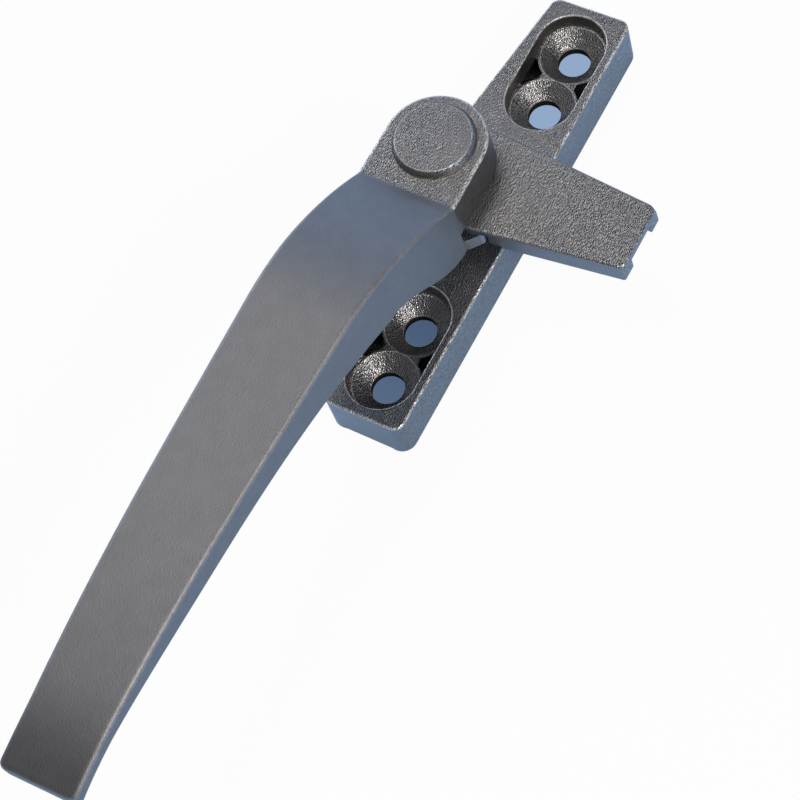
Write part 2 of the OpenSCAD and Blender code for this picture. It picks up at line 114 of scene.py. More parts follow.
RIB_IN = 5.8
RIB_OUT = 9
RIB_T = 1.6
RIB_UNDER = 1.45
STOP_ANGLE = 16
TURN = 90
RELIEF_LEFT = -4.15
RELIEF_RIGHT = 4.85
RELIEF_IN = 2.8
RELIEF_H = 0.4

# Tongue
TONGUE_REACH = 29.7
TONGUE_ROOT = 19.1
TONGUE_END = 11.8
TONGUE_SKEW = 0.5
TONGUE_SIDE = 3.6
TONGUE_WEB = 1.4
TONGUE_WALL = 1.6
WALL_START = 11.9
HUB_OF_TONGUE_R = 6.8
SQUARE = 6.4

# Lever, measured along it from the pivot axis
LEVER_LEN = 114.4
BOSS_R = 8.4
BOSS_FOOT_R = 8.55
CRANK_HALF = 8.5
CREASE = 9.4
RISE_END = 38
RISE = 11.55
RISE_POWER = 1.9
FALL_START = 58
TIP_DROP = 5.4
GRIP_HALF = 8.3
TIP_HALF = 6.55
TAPER_END = 104
TIP_SKEW = 0.5
HEEL = 10.4
THROAT = 29.8
THROAT_Z = GRIP_TOP - 12.6
UNDER_TOP = GRIP_TOP - 5.5
UNDER_FLAT = 76
UNDER_DROP = 3
SKIRT_GAP = 0.3
NOSE_TOP_R = 0.6
NOSE_LOW_R = 0.35
HOLLOW_START = 12.4
HOLLOW_END = 99.4
LEVER_WALL = 1.8
LEVER_SKIN = 1.9
WEB_TOP = TONGUE_TOP + 3
RIB_HALF = 0.7
SKIRT_CORNER_R = 12.6
SKIRT_CORNER_H = 2.8
SKIRT_CORNER_W = 1.9
RECESS_R = 6
PLUG_R = RECESS_R - 0.05
PLUG_WALL = 0.9


# Settings


class PlateSettings(bpy.types.PropertyGroup):
    """Edges and seats of the base plate."""

    rim_radius: FloatProperty(
        name="Rim radius", description="Rounding of the top rim",
        default=0.4 * MM, unit="LENGTH", precision=5)
    pocket_width: FloatProperty(
        name="Pocket width", description="Width of the pocket round each pair of holes",
        default=11.7 * MM, unit="LENGTH", precision=5)
    pocket_depth: FloatProperty(
        name="Pocket depth", description="Depth of each pocket below the deck",
        default=POCKET_DEPTH * MM, unit="LENGTH", precision=5)
    pocket_rim: FloatProperty(
        name="Pocket rim radius", description="Rounding of the rim of each pocket",
        default=0.3 * MM, unit="LENGTH", precision=5)
    seat_diameter: FloatProperty(
        name="Seat diameter", description="Diameter of each countersunk seat",
        default=10.6 * MM, unit="LENGTH", precision=5)
    seat_rim: FloatProperty(
        name="Seat rim radius", description="Rounding of the rim of each seat",
        default=0.22 * MM, unit="LENGTH", precision=5)
    hole_diameter: FloatProperty(
        name="Hole diameter", description="Diameter of each screw hole",
        default=5.5 * MM, unit="LENGTH", precision=5)


class TongueSettings(bpy.types.PropertyGroup):
    """Edges of the tongue."""

    edge_radius: FloatProperty(
        name="Edge radius", description="Rounding of the edge of the top face",
        default=0.45 * MM, unit="LENGTH", precision=5)
    corner_radius: FloatProperty(
        name="Corner radius", description="Radius of the two end corners",
        default=2 * MM, unit="LENGTH", precision=5)
    notch_width: FloatProperty(
        name="Notch width", description="Width of the notch in the end wall",
        default=6.4 * MM, unit="LENGTH", precision=5)


class LeverSettings(bpy.types.PropertyGroup):
    """Edges and hollow of the lever."""

    grip_edge: FloatProperty(
        name="Grip edge radius", description="Rounding of the long top edges of the grip",
        default=0.85 * MM, unit="LENGTH", precision=5)
    boss_edge: FloatProperty(
        name="Boss edge radius", description="Rounding of the top edge of the boss",
        default=0.5 * MM, unit="LENGTH", precision=5)
    end_corner: FloatProperty(
        name="End corner radius", description="Radius of the two end corners of the grip",
        default=1.2 * MM, unit="LENGTH", precision=5)
    ribs: IntProperty(
        name="Ribs", description="Number of ribs across the hollow underside", default=3, min=0, max=6)


class CapSettings(bpy.types.PropertyGroup):
    """Form of the cap over the fixing screw."""

    radius: FloatProperty(
        name="Radius", description="Radius of the cap at its foot",
        default=6.7 * MM, unit="LENGTH", precision=5)
    top_radius: FloatProperty(
        name="Top radius", description="Radius of the flat top",
        default=6.1 * MM, unit="LENGTH", precision=5)
    edge_radius: FloatProperty(
        name="Edge radius", description="Rounding between the bevel and the flat top",
        default=0.25 * MM, unit="LENGTH", precision=5)


class FinishSettings(bpy.types.PropertyGroup):
    """Colours and grain of the finishes."""

    coat: FloatVectorProperty(
        name="Textured coat", description="Colour of the textured powder coat",
        default=(0.262, 0.254, 0.250), size=3, min=0, max=1, subtype="COLOR")
    grip: FloatVectorProperty(
        name="Grip coat", description="Colour of the smoother coat of the lever",
        default=(0.246, 0.241, 0.240), size=3, min=0, max=1, subtype="COLOR")
    # Painted highlight: this colour goes on rounded edges in place of the light that they catch
    edge: FloatVectorProperty(
        name="Edge tone", description="Colour of the coat where it thins over an edge",
        default=(0.72, 0.67, 0.62), size=3, min=0, max=1, subtype="COLOR")
    steel: FloatVectorProperty(
        name="Plated steel", description="Colour of the zinc plated parts",
        default=(0.60, 0.60, 0.58), size=3, min=0, max=1, subtype="COLOR")
    spring: FloatVectorProperty(
        name="Spring steel", description="Colour of the spring washers",
        default=(0.33, 0.33, 0.35), size=3, min=0, max=1, subtype="COLOR")
    acetal: FloatVectorProperty(
        name="Acetal", description="Colour of the plastic bearings",
        default=(0.76, 0.75, 0.70), size=3, min=0, max=1, subtype="COLOR")
    grain: FloatProperty(
        name="Grain size", description="Size of one grain of the textured coat",
        default=0.15 * MM, unit="LENGTH", precision=5)
    grain_depth: FloatProperty(
        name="Grain depth", description="Height of the grain of the textured coat",
        default=0.10 * MM, unit="LENGTH", precision=6)


class StageSettings(bpy.types.PropertyGroup):
    """Camera, floor and lamps."""

    camera_place: FloatVectorProperty(
        name="Camera place", description="Place of the camera",
        default=(0.129294, -0.135094, 0.318201), size=3, subtype="TRANSLATION", unit="LENGTH", precision=6)
    camera_turn: FloatVectorProperty(
        name="Camera turn", description="Turn of the camera about X, Y and Z",
        default=(math.radians(25.06283), math.radians(11.07791), math.radians(28.90595)), size=3,
        subtype="EULER")
    focal: FloatProperty(
        name="Focal length", description="Focal length of the lens in millimetres, on a 36 mm sensor",
        default=101.407)
    floor: FloatVectorProperty(
        name="Floor", description="Colour of the pale floor",
        default=(0.46, 0.64, 0.91), size=3, min=0, max=1, subtype="COLOR")
    key: FloatProperty(name="Key lamp", description="Power of the large lamp on the right", default=2.6,
                       subtype="POWER", unit="POWER")
    top: FloatProperty(name="Top lamp", description="Power of the wide lamp overhead", default=1.78,
                       subtype="POWER", unit="POWER")
    side: FloatProperty(name="Side lamp", description="Power of the low lamp on the left", default=0.9,
                        subtype="POWER", unit="POWER")
    fill: FloatProperty(name="Fill lamp", description="Power of the soft lamp on the left", default=0.06,
                        subtype="POWER", unit="POWER")
    sky: FloatProperty(name="Sky strength", description="Strength of the soft light all round", default=0.9)


SETTINGS = {
    "handle_plate": PlateSettings,
    "handle_tongue": TongueSettings,
    "handle_lever": LeverSettings,
    "handle_cap": CapSettings,
    "handle_finish": FinishSettings,
    "handle_stage": StageSettings,
}


# Outlines and closed forms


# Radius in millimetres past which a rounded corner gets three times the points
LARGE_ROUND = 5


def clamp(value):
    return min(1.0, max(0.0, value))


def mix(a, b, t):
    return a + (b - a) * t


def smooth(t):
    t = clamp(t)
    return t * t * (3 - 2 * t)


def rounded(points, radii, inset=0.0, steps=8):
    """A convex outline that runs anticlockwise, with rounded corners, drawn inset by a distance."""
    outline = []
    for i, (point, radius) in enumerate(zip(points, radii)):
        corner = Vector(point)
        back = (Vector(points[i - 1]) - corner).normalized()
        ahead = (Vector(points[(i + 1) % len(points)]) - corner).normalized()
        half = back.angle(ahead) / 2
        centre = corner + (back + ahead).normalized() * (radius / math.sin(half))
        start = math.atan2(corner.y - centre.y, corner.x - centre.x) - (math.pi / 2 - half)
        n = steps * 3 if radius > LARGE_ROUND else steps
        reach = radius - inset
        for k in range(n + 1):
            a = start + (math.pi - 2 * half) * k / n
            outline.append((centre.x + reach * math.cos(a), centre.y + reach * math.sin(a)))
    return outline


def circle(centre, radius, count=96):
    return [(centre[0] + radius * math.cos(math.tau * k / count),
             centre[1] + radius * math.sin(math.tau * k / count)) for k in range(count)]


def slot_outline(radius, count=48):
    """A round-ended outline along Y, round the two holes of the upper pair."""
    outline = []
    for y, first in ((OUTER_HOLE_Y, 0.0), (INNER_HOLE_Y, math.pi)):
        for k in range(count + 1):
            a = first + math.pi * k / count
            outline.append((radius * math.cos(a), y + radius * math.sin(a)))
    return outline


def arc(centre, radius, first, last, steps=5):
    """Points of a profile (distance, height) on an arc between two angles in degrees."""
    points = []
    for k in range(steps + 1):
        a = math.radians(mix(first, last, k / steps))
        points.append((centre[0] + radius * math.cos(a), centre[1] + radius * math.sin(a)))
    return points


def closed_form(name, rings):
    """A closed solid through rings of points with the same count, flat at both ends."""
    form = bmesh.new()
    rows = [[form.verts.new(p) for p in ring] for ring in rings]
    count = len(rows[0])
    form.faces.new(list(reversed(rows[0])))
    form.faces.new(rows[-1])
    for low, high in zip(rows, rows[1:]):
        for k in range(count):
            form.faces.new((low[k], low[(k + 1) % count], high[(k + 1) % count], high[k]))
    bmesh.ops.recalc_face_normals(form, faces=form.faces)
    mesh = bpy.data.meshes.new(name)
    form.to_mesh(mesh)
    form.free()
    solid = bpy.data.objects.new(name, mesh)
    bpy.context.scene.collection.objects.link(solid)
    return solid


def stacked(name, layers):
    """A closed solid from (outline, height) layers."""
    return closed_form(name, [[(x, y, z) for x, y in outline] for outline, z in layers])


def turned(name, centre, profile, count=96):
    """A solid of revolution about a vertical axis, from (radius, height) points."""
    return stacked(name, [(circle(centre, r, count), z) for r, z in profile])


def block(name, low, high):
    outline = [(low[0], low[1]), (high[0], low[1]), (high[0], high[1]), (low[0], high[1])]
    return stacked(name, [(outline, low[2]), (outline, high[2])])


def combine(body, tool, how):
    """Applies one solid to another and removes the tool."""
    step = body.modifiers.new("step", "BOOLEAN")
    step.operation, step.solver, step.object = how, "EXACT", tool
    bpy.context.view_layer.update()
    result = bpy.data.meshes.new_from_object(body.evaluated_get(bpy.context.evaluated_depsgraph_get()))
    body.modifiers.clear()
    spent, body.data = body.data, result
    bpy.data.meshes.remove(spent)
    bpy.data.meshes.remove(tool.data)
    if not len(body.data.polygons):
        raise RuntimeError(f"{body.name}: nothing is left after a {how.lower()} step")
    return body


def cut(body, *tools):
    for tool in tools:
        combine(body, tool, "DIFFERENCE")
    return body


def join(body, *tools):
    for tool in tools:
        combine(body, tool, "UNION")
    return body


def mirrored(solid):
    """A copy of a solid on the other side of the X axis."""
    twin = bpy.data.objects.new(solid.name + "_twin", solid.data.copy())
    bpy.context.scene.collection.objects.link(twin)
    form = bmesh.new()
    form.from_mesh(twin.data)
    for vert in form.verts:
        vert.co.y = -vert.co.y
    bmesh.ops.reverse_faces(form, faces=form.faces)
    form.to_mesh(twin.data)
    form.free()
    return twin


# A face is part of a rounded edge if it turns by such an angle along an edge, and is narrow:
# its area is under the step, in millimetres, times its longest turned edge
ROUNDING = math.radians(6), math.radians(50)
EDGE_STEP = 0.3
# Strength of the painted edge highlight at a vertex where rounded and flat faces meet
EDGE_FRINGE = 0.25
# Points this close, in millimetres, are one point
MERGE = 0.002


# tone scales the painted highlight on the rounded edges
def dress(solid, body, node, material, tone=1.0, sharp=math.radians(38)):
    """Cleans a solid, marks its rounded edges for the painted edge highlight, scales it to metres and puts it
    on its body.
    """
    form = bmesh.new()
    form.from_mesh(solid.data)
    bmesh.ops.remove_doubles(form, verts=form.verts, dist=MERGE)
    bmesh.ops.dissolve_degenerate(form, edges=form.edges, dist=MERGE / 2)
    painted_edge_highlight = form.loops.layers.float.new("painted_edge_highlight")
    round_faces = set()
    for face in form.faces:
        turned_edges = [e.calc_length() for e in face.edges
                        if len(e.link_faces) == 2 and ROUNDING[0] < e.calc_face_angle_signed(0) < ROUNDING[1]]
        if turned_edges and face.calc_area() < EDGE_STEP * max(turned_edges):
            round_faces.add(face)
    for face in form.faces:
        for loop in face.loops:
            inside = all(f in round_faces for f in loop.vert.link_faces)
            loop[painted_edge_highlight] = tone * (1.0 if inside else EDGE_FRINGE if face in round_faces else 0.0)
    bmesh.ops.scale(form, vec=(MM, MM, MM), verts=form.verts)
    form.to_mesh(solid.data)
    form.free()
    mesh = solid.data
    mesh.polygons.foreach_set("use_smooth", [True] * len(mesh.polygons))
    mesh.set_sharp_from_angle(angle=sharp)
    weigh = solid.modifiers.new("weigh", "WEIGHTED_NORMAL")
    weigh.keep_sharp = True
    weigh.weight = 80
    mesh.materials.clear()
    mesh.materials.append(material)
    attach(solid, body)
    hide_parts(node)
    return solid


# Finishes


# How far the grain is drawn out along X, Y and Z, and the shift that gives the painted light and shade on its
# flanks
GRAIN_DRAWN = (1.0, 0.42, 0.8)
GRAIN_SHIFT = 0.09 * MM
# Part of the grain that is left on upright faces
UPRIGHT_GRAIN = 0.22
# Size of one patch of the broken painted highlight along an edge
EDGE_PATCH = 1.1 * MM
# How metallic the coat looks, and how much less where its painted edge highlight shows
COAT_METALLIC = 0.95
EDGE_HIGHLIGHT_LESS_METAL = 0.6
# Painted shade on top of the tip: how much darker it is, and the stretch over which it darkens
TIP_SHADE_PAINT = 0.44
TIP_SHADE_START = LEVER_LEN - 17
TIP_SHADE_END = LEVER_LEN - 2


def socket(group, name, direction, kind, default=None):
    made = group.interface.new_socket(name=name, in_out=direction, socket_type=kind)
    if default is not None:
        made.default_value = default
    return made


def new_group(name, inputs, outputs):
    group = bpy.data.node_groups.new(name, "ShaderNodeTree")
    for title, kind, default in inputs:
        socket(group, title, "INPUT", kind, default)
    for title, kind in outputs:
        socket(group, title, "OUTPUT", kind)
    return group, group.nodes.new("NodeGroupInput"), group.nodes.new("NodeGroupOutput")


def add(tree, kind, links=(), **values):
    """Adds a node, sets its values and joins (input, source socket) pairs."""
    made = tree.nodes.new(kind)
    for key, value in values.items():
        setattr(made, key, value)
    for target, source in links:
        if hasattr(source, "links"):
            tree.links.new(source, made.inputs[target])
        else:
            made.inputs[target].default_value = source
    return made


def math_node(tree, operation, first, second=0.0, use_clamp=False):
    made = add(tree, "ShaderNodeMath", ((0, first), (1, second)), operation=operation, use_clamp=use_clamp)
    return made.outputs[0]


def vector_node(tree, operation, first, second):
    return add(tree, "ShaderNodeVectorMath", ((0, first), (1, second)), operation=operation).outputs[0]


def fade(tree, value, first, last, low=0.0, high=1.0, kind="LINEAR"):
    """A value that runs from low to high while another runs from first to last."""
    made = add(tree, "ShaderNodeMapRange", (
        ("Value", value), ("From Min", first), ("From Max", last), ("To Min", low), ("To Max", high)),
        interpolation_type=kind)
    return made.outputs[0]


def coordinates(tree, kind="Object"):
    return tree.nodes.new("ShaderNodeTexCoord").outputs[kind]


def split(tree, vector):
    return add(tree, "ShaderNodeSeparateXYZ", ((0, vector),)).outputs


def noise(tree, where, scale, detail):
    made = add(tree, "ShaderNodeTexNoise", (("Vector", where), ("Scale", scale), ("Detail", detail)))
    return made.outputs["Fac"]


def colour_mix(tree, blend, factor, first, second):
    """Blends two colours: a mix node of the colour kind, whose inputs 6 and 7 are the two colours."""
    made = tree.nodes.new("ShaderNodeMix")
    made.data_type, made.blend_type = "RGBA", blend
    for index, value in ((0, factor), (6, first), (7, second)):
        if hasattr(value, "links"):
            tree.links.new(value, made.inputs[index])
        else:
            made.inputs[index].default_value = value
    return made.outputs[2]


def rgba(colour, gain=1.0):
    return tuple(min(1.0, c * gain) for c in colour) + (1.0,)


def grain_group():
    """Fine leathery grain of a powder coat: its height, painted light and shade on its flanks, and a slow
    mottle.

    The grain lies strongest on the faces that look up, where the powder settles."""
    tree, given, out = new_group(
        "coat_grain",
        (("Size", "NodeSocketFloat", 0.15 * MM), ("Strength", "NodeSocketFloat", 1.0)),
        (("Height", "NodeSocketFloat"), ("Mottle", "NodeSocketFloat"), ("PaintedEmboss", "NodeSocketFloat")))
    place = coordinates(tree)
    drawn = vector_node(tree, "MULTIPLY", place, GRAIN_DRAWN)
    beside = vector_node(tree, "ADD", drawn, (GRAIN_SHIFT, 0, 0))
    scale = math_node(tree, "DIVIDE", 1.0, given.outputs["Size"])
    here, there = (noise(tree, where, scale, 0.0) for where in (drawn, beside))
    height = math_node(tree, "SUBTRACT", here, 0.5)
    # Painted light and shade: one flank of each grain lighter and the other darker, as if lit along X
    painted_flank = math_node(tree, "SUBTRACT", here, there)
    settled = fade(tree, split(tree, coordinates(tree, "Normal"))["Z"], 0.25, 0.6, low=UPRIGHT_GRAIN)
    amount = math_node(tree, "MULTIPLY", settled, given.outputs["Strength"])
    tree.links.new(math_node(tree, "MULTIPLY", height, amount), out.inputs["Height"])
    tree.links.new(math_node(tree, "MULTIPLY", painted_flank, amount), out.inputs["PaintedEmboss"])
    slow = noise(tree, place, math_node(tree, "MULTIPLY", scale, 0.06), 3.0)
    tree.links.new(slow, out.inputs["Mottle"])
    return tree


def painted_highlight_group():
    """Painted highlight on rounded edges, in place of the light they catch, broken up along them."""
    tree, given, out = new_group(
        "painted_edge_highlight",
        (("Coat", "NodeSocketColor", None), ("Edge", "NodeSocketColor", None),
         ("Amount", "NodeSocketFloat", 0.5)),
        (("Colour", "NodeSocketColor"), ("Mask", "NodeSocketFloat")))
    marked = add(tree, "ShaderNodeAttribute", attribute_name="painted_edge_highlight", attribute_type="GEOMETRY")
    broken = fade(tree, noise(tree, coordinates(tree), 1 / EDGE_PATCH, 3.0), 0.3, 0.65, low=0.35)
    mask = math_node(tree, "MULTIPLY", marked.outputs["Fac"], broken)
    mask = math_node(tree, "MULTIPLY", mask, given.outputs["Amount"], use_clamp=True)
    colour = colour_mix(tree, "MIX", mask, given.outputs["Coat"], given.outputs["Edge"])
    tree.links.new(colour, out.inputs["Colour"])
    tree.links.new(mask, out.inputs["Mask"])
    return tree


def placed(tree, group, **values):
    node = tree.nodes.new("ShaderNodeGroup")
    node.node_tree = group
    for key, value in values.items():
        title = key.replace("_", " ")
        if hasattr(value, "links"):
            tree.links.new(value, node.inputs[title])
        else:
            node.inputs[title].default_value = value
    return node


def new_material(name, **constants):
    material = bpy.data.materials.new(name)
    material.use_nodes = True
    tree = material.node_tree
    shader = tree.nodes["Principled BSDF"]
    for key, value in constants.items():
        shader.inputs[key.replace("_", " ")].default_value = value
    return material, tree, shader


def painted_tip_shade(tree, along):
    """Painted shade: how much darker the coat is on top of the tip."""
    near_tip = fade(tree, along, -TIP_SHADE_END * MM, -TIP_SHADE_START * MM, TIP_SHADE_PAINT, 0.0, "SMOOTHSTEP")
    upward = fade(tree, split(tree, coordinates(tree, "Normal"))["Z"], 0.5, 0.9)
    return math_node(tree, "MULTIPLY", near_tip, upward)


def coat_material(name, finish, rough, rubbed_rough=None, smooth_past=None):
    """Powder coat: grain in height with painted light and shade on its flanks, a slow mottle, and a painted
    highlight on its edges.

    Past a distance towards -Y, where one is given, it is the smoother coat of the rise and the grip, with
    painted shade on top of the tip."""
    material, tree, shader = new_material(name)
    strength, tip_shade_gain = 1.0, None
    colour, duller = rgba(finish.coat), rough
    if smooth_past is not None:
        along = split(tree, coordinates(tree))["Y"]
        strength = fade(tree, along, -(smooth_past + 0.5) * MM, -smooth_past * MM, low=0.15)
        colour = colour_mix(tree, "MIX", strength, rgba(finish.grip), colour)
        smoothed = math_node(tree, "SUBTRACT", 1.0, strength)
        duller = math_node(tree, "ADD", rough, math_node(tree, "MULTIPLY", smoothed, rubbed_rough - rough))
        # Painted shade, darkening the top of the tip
        tip_shade_gain = math_node(tree, "SUBTRACT", 1.0, painted_tip_shade(tree, along))
    grain = placed(tree, bpy.data.node_groups["coat_grain"], Size=finish.grain, Strength=strength)
    # Painted highlight on the rounded edges, which also makes the coat less metallic there
    edge_highlighted = placed(tree, bpy.data.node_groups["painted_edge_highlight"],
                   Coat=colour, Edge=rgba(finish.edge), Amount=strength)
    less_metal_on_highlight = math_node(tree, "MULTIPLY", edge_highlighted.outputs["Mask"], EDGE_HIGHLIGHT_LESS_METAL)
    tree.links.new(math_node(tree, "SUBTRACT", COAT_METALLIC, less_metal_on_highlight), shader.inputs["Metallic"])
    painted_emboss = grain.outputs["PaintedEmboss"]
    # The painted light and shade of the grain flanks, as a gain on the base colour
    light = fade(tree, painted_emboss, -0.25, 0.25, high=2.0)
    slow = fade(tree, grain.outputs["Mottle"], 0.3, 0.7, 0.96, 1.04)
    gain = math_node(tree, "MULTIPLY", light, slow)
    if tip_shade_gain is not None:
        gain = math_node(tree, "MULTIPLY", gain, tip_shade_gain)
    grey = add(tree, "ShaderNodeCombineColor", (("Red", gain), ("Green", gain), ("Blue", gain)))
    tree.links.new(colour_mix(tree, "MULTIPLY", 1.0, edge_highlighted.outputs["Colour"], grey.outputs[0]),
                   shader.inputs["Base Color"])
    polish = math_node(tree, "MULTIPLY", painted_emboss, -0.24)
    tree.links.new(math_node(tree, "ADD", duller, polish), shader.inputs["Roughness"])
    emboss(tree, shader, grain.outputs["Height"], 1.0, finish.grain_depth)
    return material


def emboss(tree, shader, height, strength, depth):
    bump = add(tree, "ShaderNodeBump", (("Height", height), ("Strength", strength), ("Distance", depth)))
    tree.links.new(bump.outputs[0], shader.inputs["Normal"])


def metal_material(name, colour, rough, tint):
    """Plated or bare steel: faint turning lines round the pivot and a cloudy plating."""
    material, tree, shader = new_material(name, Metallic=1.0)
    place = coordinates(tree)
    centred = vector_node(tree, "ADD", place, (-PIVOT_X * MM, 0, 0))
    lines = add(tree, "ShaderNodeTexWave", (
        ("Vector", centred), ("Scale", 900.0), ("Distortion", 1.5), ("Detail", 2.0)),
        wave_type="RINGS", rings_direction="Z")
    cloud = noise(tree, place, 420.0, 4.0)
    tree.links.new(colour_mix(tree, "MIX", cloud, rgba(colour), rgba(tint)), shader.inputs["Base Color"])
    tree.links.new(fade(tree, cloud, 0.0, 1.0, rough - 0.08, rough + 0.12), shader.inputs["Roughness"])
    emboss(tree, shader, lines.outputs["Fac"], 0.3, 0.01 * MM)
    return material


def acetal_material(colour):
    """Turned or moulded natural acetal, with a faint cloud and a satin skin."""
    material, tree, shader = new_material("natural_acetal", IOR=1.48)
    place = coordinates(tree)
    cloudy = colour_mix(tree, "MIX", noise(tree, place, 300.0, 3.0), rgba(colour, 0.94), rgba(colour, 1.04))
    tree.links.new(cloudy, shader.inputs["Base Color"])
    fine = noise(tree, place, 5000.0, 2.0)
    tree.links.new(fade(tree, fine, 0.0, 1.0, 0.36, 0.52), shader.inputs["Roughness"])
    emboss(tree, shader, fine, 0.4, 0.01 * MM)
    return material


class HANDLE_OT_finishes(bpy.types.Operator):
    """Makes the coats, metals and plastic, and puts them on the parts that stay as they are"""

    bl_idname = "handle.finishes"
    bl_label = "Finishes"

    def execute(self, context):
        finish = context.scene.handle_finish
        grain_group()
        painted_highlight_group()
        coat_material("bronze_textured", finish, rough=0.37)
        coat_material("bronze_satin", finish, rough=0.37, rubbed_rough=0.60, smooth_past=CREASE - 0.3)
        plating = metal_material("zinc_plating", finish.steel, rough=0.3, tint=(0.66, 0.63, 0.52))
        bare = metal_material("bare_spring", finish.spring, rough=0.36, tint=(0.22, 0.23, 0.27))
        plastic = acetal_material(finish.acetal)
        for material, nodes in ((plastic, ("base_bush", "thrust_washer")),
                                (plating, ("pivot_spindle", "back_washer", "fixing_screw")),
                                (bare, ("disc_spring", "lock_washer"))):
            for node in nodes:
                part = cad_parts[node]
                if not part.material_slots:
                    raise RuntimeError(f"{node} has no material slot")
                for place in part.material_slots:
                    place.material = material
        return {"FINISHED"}


# Castings


def plate_outline(inset, corner):
    """Plan outline of the base plate: the slanted edges are tangent to the circle round the pivot."""
    to_corner = Vector((PLATE_HALF, END_LEFT - PIVOT_X)).length
    slant = math.atan2(END_LEFT - PIVOT_X, PLATE_HALF) + math.asin(HUB_R / to_corner)
    apex = PIVOT_X - HUB_R / math.cos(slant)
    points = [(PLATE_EDGE, -PLATE_HALF), (PLATE_EDGE, PLATE_HALF), (END_LEFT, PLATE_HALF), (apex, 0),
              (END_LEFT, -PLATE_HALF)]
    return rounded(points, [corner, corner, corner, HUB_R, corner], inset)


def plate_hollow():
    """The space inside the plate, open at the back, with what stands in it left out."""
    walls = plate_outline(SIDE_DRAFT + SHELL_T, PLATE_CORNER)
    hollow = stacked("hollow", [(walls, -1), (walls, DECK_Z - DECK_T)])
    wall = slot_outline(POCKET_WALL_R)
    skirt = stacked("skirt", [(wall, DECK_Z - POCKET_DEPTH - POCKET_LIP), (wall, DECK_Z)])
    reach = WINDOW_LEN / 2 + 0.5
    shelf = block("shelf", (-15, PAIR_MIDDLE - reach, WINDOW_FLOOR_LOW),
                  (15, PAIR_MIDDLE + reach, WINDOW_FLOOR_TOP))
    bore = [(WINDOW_FLOOR_BORE, -2), (WINDOW_FLOOR_BORE, WINDOW_FLOOR_TOP + 0.3)]
    cup = [(CUP_R - 0.25, CUP_UNDER), (CUP_R, CUP_UNDER + 0.25), (CUP_R, DECK_Z)]
    for y in (INNER_HOLE_Y, OUTER_HOLE_Y):
        cut(shelf, turned("clear", (0, y), bore, 64))
    tools = [skirt, shelf]
    tools += [turned("cup", (0, y), cup, 64) for y in (INNER_HOLE_Y, OUTER_HOLE_Y)]
    tools += [mirrored(tool) for tool in tools]
    tools.append(turned("hub", (PIVOT_X, 0), [(COLLAR_R, HUB_UNDER), (COLLAR_R, DECK_Z)]))
    for first, side in ((STOP_ANGLE, 0.0), (-TURN - STOP_ANGLE, -RIB_T)):
        rib = block("rib", (RIB_IN, side, RIB_UNDER), (RIB_OUT, side + RIB_T, DECK_Z))
        for vert in rib.data.vertices:
            vert.co = Euler((0, 0, math.radians(first))).to_matrix() @ vert.co
            vert.co.x += PIVOT_X
        tools.append(rib)
    return cut(hollow, *tools)


def seat_tool(y, seat_r, hole_r, pocket_z, rim):
    """Countersunk seat and through hole, with rounded rims."""
    slope = math.degrees(math.atan2(pocket_z - SEAT_BOTTOM, seat_r - hole_r))
    profile = [(hole_r, CUP_UNDER - 1), (hole_r, SEAT_BOTTOM - 0.25)]
    profile += arc((hole_r + 0.25, SEAT_BOTTOM - 0.1), 0.25, 180, 90 + slope, 3)
    turn = arc((seat_r + rim * 0.9, pocket_z - rim), rim, 90 + slope, 92, 4)
    profile += turn + [(turn[-1][0] + 0.02, pocket_z + 0.3)]
    return turned("seat", (0, y), profile)


